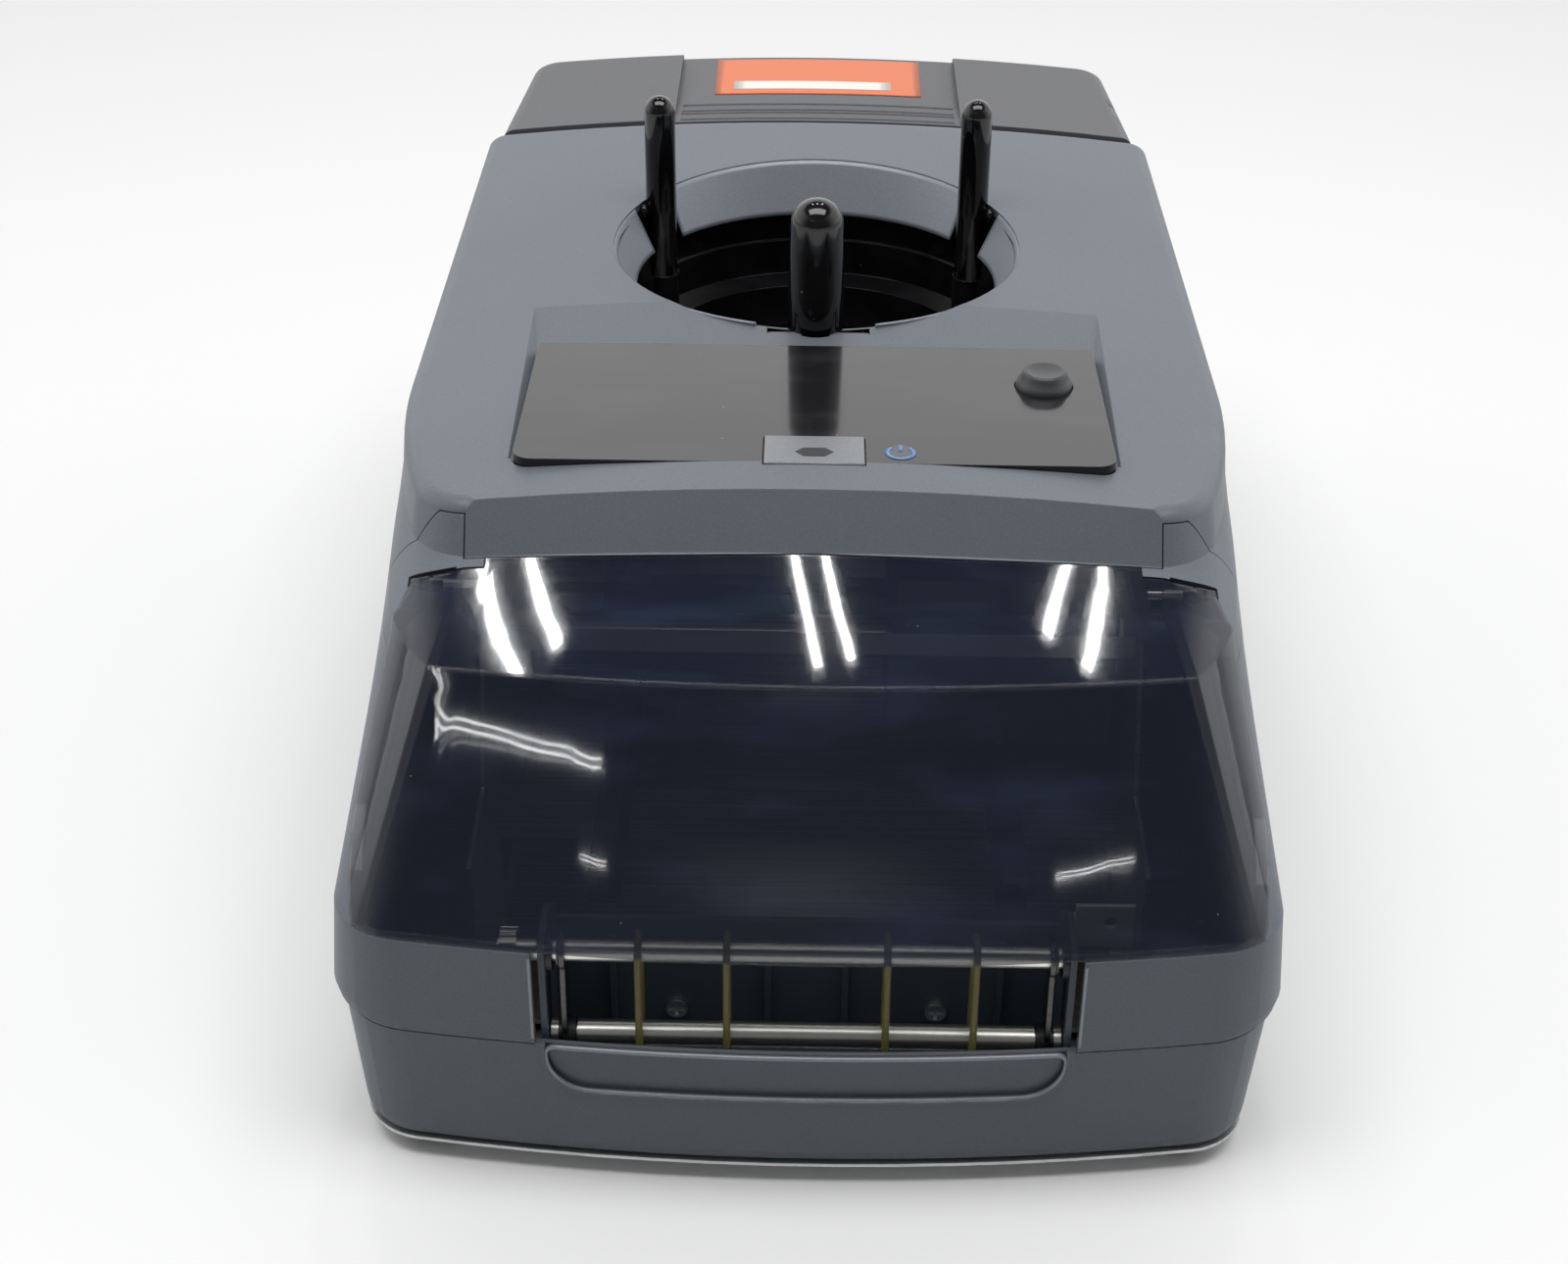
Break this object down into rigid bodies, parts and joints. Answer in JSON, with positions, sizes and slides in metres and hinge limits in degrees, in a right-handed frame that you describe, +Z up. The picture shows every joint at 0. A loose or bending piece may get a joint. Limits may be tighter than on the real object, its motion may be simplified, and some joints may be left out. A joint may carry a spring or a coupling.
{
  "type": "disc label printer",
  "caption": "Desktop printer for disc labels with a round hopper and posts on top, a hinged smoked visor and a belt-driven exit slot in front.",
  "frame": {"origin": "on the table, under the middle of the printer's plan", "axes": "+X to the right seen from the front, +Y to the back, +Z up"},
  "size_m": [0.292, 0.5247, 0.2328],
  "materials": {
    "graphite_paint": "metallic grey paint, fine grain",
    "smoked_visor": "smoked dark blue, polished",
    "black_gloss": "black, polished",
    "button_silver": "silver paint",
    "button_grey": "grey, satin",
    "clear_lens": "polished lens",
    "black_matte": "moulded black",
    "exit_steel": "plated steel",
    "belt_rubber": "smooth olive-yellow rubber",
    "foot_rubber": "soft black rubber",
    "tray_grey": "moulded grey",
    "cartridge_black": "moulded black",
    "pulley_white": "white acetal",
    "board_green": "circuit board",
    "metal_can": "bare metal"
  },
  "bodies": {
    "base": {"upper_housing": "graphite_paint", "lower_housing": "graphite_paint", "rear_cover": "graphite_paint", "hinge_cap_left": "graphite_paint", "hinge_cap_right": "graphite_paint", "hopper_funnel": "black_gloss", "rear_post_left": "black_gloss", "rear_post_right": "black_gloss", "front_post": "black_gloss", "control_panel": "black_gloss", "power_lens": "clear_lens", "exit_frame": "black_matte", "feed_ring": "black_matte", "shaft_bushes": "black_matte", "tray_rail_left": "black_matte", "tray_rail_right": "black_matte", "service_station": "black_matte", "power_inlet": "black_matte", "data_socket": "black_matte", "guide_rod": "exit_steel", "exit_screws": "exit_steel", "service_bracket": "exit_steel", "chassis": "exit_steel", "base_plate": "exit_steel", "idler_post": "exit_steel", "carriage_belt": "belt_rubber", "rubber_foot_1": "foot_rubber", "rubber_foot_2": "foot_rubber", "rubber_foot_3": "foot_rubber", "rubber_foot_4": "foot_rubber", "encoder_strip": "pulley_white", "panel_board": "board_green", "panel_switches": "board_green", "main_board": "board_green", "tray_motor": "metal_can", "carriage_motor": "metal_can", "power_supply": "metal_can"},
    "visor": {"visor": "smoked_visor", "hinge_pins": "exit_steel"},
    "power_button": {"power_button": "button_silver"},
    "ok_button": {"ok_button": "button_grey"},
    "tray": {"disc_tray": "tray_grey"},
    "tray_feed": {"tray_feed_shaft": "exit_steel"},
    "carriage": {"carriage": "tray_grey", "black_cartridge": "cartridge_black", "colour_cartridge": "cartridge_black"},
    "motor_pulley": {"motor_pulley": "pulley_white"},
    "idler_pulley": {"idler_pulley": "pulley_white"},
    "exit_arm": {"swing_arm_left": "exit_steel", "swing_arm_right": "exit_steel", "roller_bushes": "black_matte", "exit_belt_1": "belt_rubber", "exit_belt_2": "belt_rubber", "exit_belt_3": "belt_rubber", "exit_belt_4": "belt_rubber"},
    "drive_shaft": {"exit_drive_shaft": "exit_steel", "shaft_clips": "exit_steel"},
    "exit_roller": {"exit_roller": "exit_steel", "roller_clips": "exit_steel"},
    "separator": {"disc_separator": "black_matte"}
  },
  "joints": [
    {"name": "visor_hinge", "type": "hinge", "parent": "base", "child": "visor", "pos_m": [0, -0.1665, 0.16], "axis": [-1, 0, 0], "range_deg": [0, 55]},
    {"name": "power_button_press", "type": "slide", "parent": "base", "child": "power_button", "axis": [0, 0, -1], "range_m": [0, 0.0012], "stiffness_N_per_m": 500},
    {"name": "ok_button_press", "type": "slide", "parent": "base", "child": "ok_button", "axis": [0, 0, -1], "range_m": [0, 0.0015], "stiffness_N_per_m": 500},
    {"name": "tray_slide", "type": "slide", "parent": "base", "child": "tray", "axis": [0, -1, 0], "range_m": [0, 0.2]},
    {"name": "tray_feed_spin", "type": "hinge", "parent": "base", "child": "tray_feed", "pos_m": [0, -0.005, 0.0697], "axis": [1, 0, 0], "range_deg": [-5, 1440]},
    {"name": "carriage_slide", "type": "slide", "parent": "base", "child": "carriage", "axis": [1, 0, 0], "range_m": [-0.126, 0]},
    {"name": "motor_pulley_spin", "type": "hinge", "parent": "base", "child": "motor_pulley", "pos_m": [-0.086, -0.0875, 0.106], "axis": [0, 1, 0], "range_deg": [-1080, 10]},
    {"name": "idler_pulley_spin", "type": "hinge", "parent": "base", "child": "idler_pulley", "pos_m": [0.086, -0.0875, 0.106], "axis": [0, 1, 0], "range_deg": [-1080, 10]},
    {"name": "exit_arm_swing", "type": "hinge", "parent": "base", "child": "exit_arm", "pos_m": [0, -0.247, 0.082], "axis": [1, 0, 0], "range_deg": [-3, 30]},
    {"name": "drive_shaft_spin", "type": "hinge", "parent": "base", "child": "drive_shaft", "pos_m": [0, -0.247, 0.082], "axis": [1, 0, 0], "continuous": true},
    {"name": "exit_roller_spin", "type": "hinge", "parent": "exit_arm", "child": "exit_roller", "pos_m": [0, -0.2486, 0.0515], "axis": [1, 0, 0], "continuous": true},
    {"name": "separator_slide", "type": "slide", "parent": "base", "child": "separator", "axis": [0, -1, 0], "range_m": [0, 0.008]}
  ],
  "couplings": [
    {"joint": "tray_feed_spin", "follows": "tray_slide", "rad_per_m": 125},
    {"joint": "motor_pulley_spin", "follows": "carriage_slide", "rad_per_m": 145},
    {"joint": "idler_pulley_spin", "follows": "carriage_slide", "rad_per_m": 145},
    {"joint": "exit_roller_spin", "follows": "drive_shaft_spin", "ratio": 0.875}
  ]
}
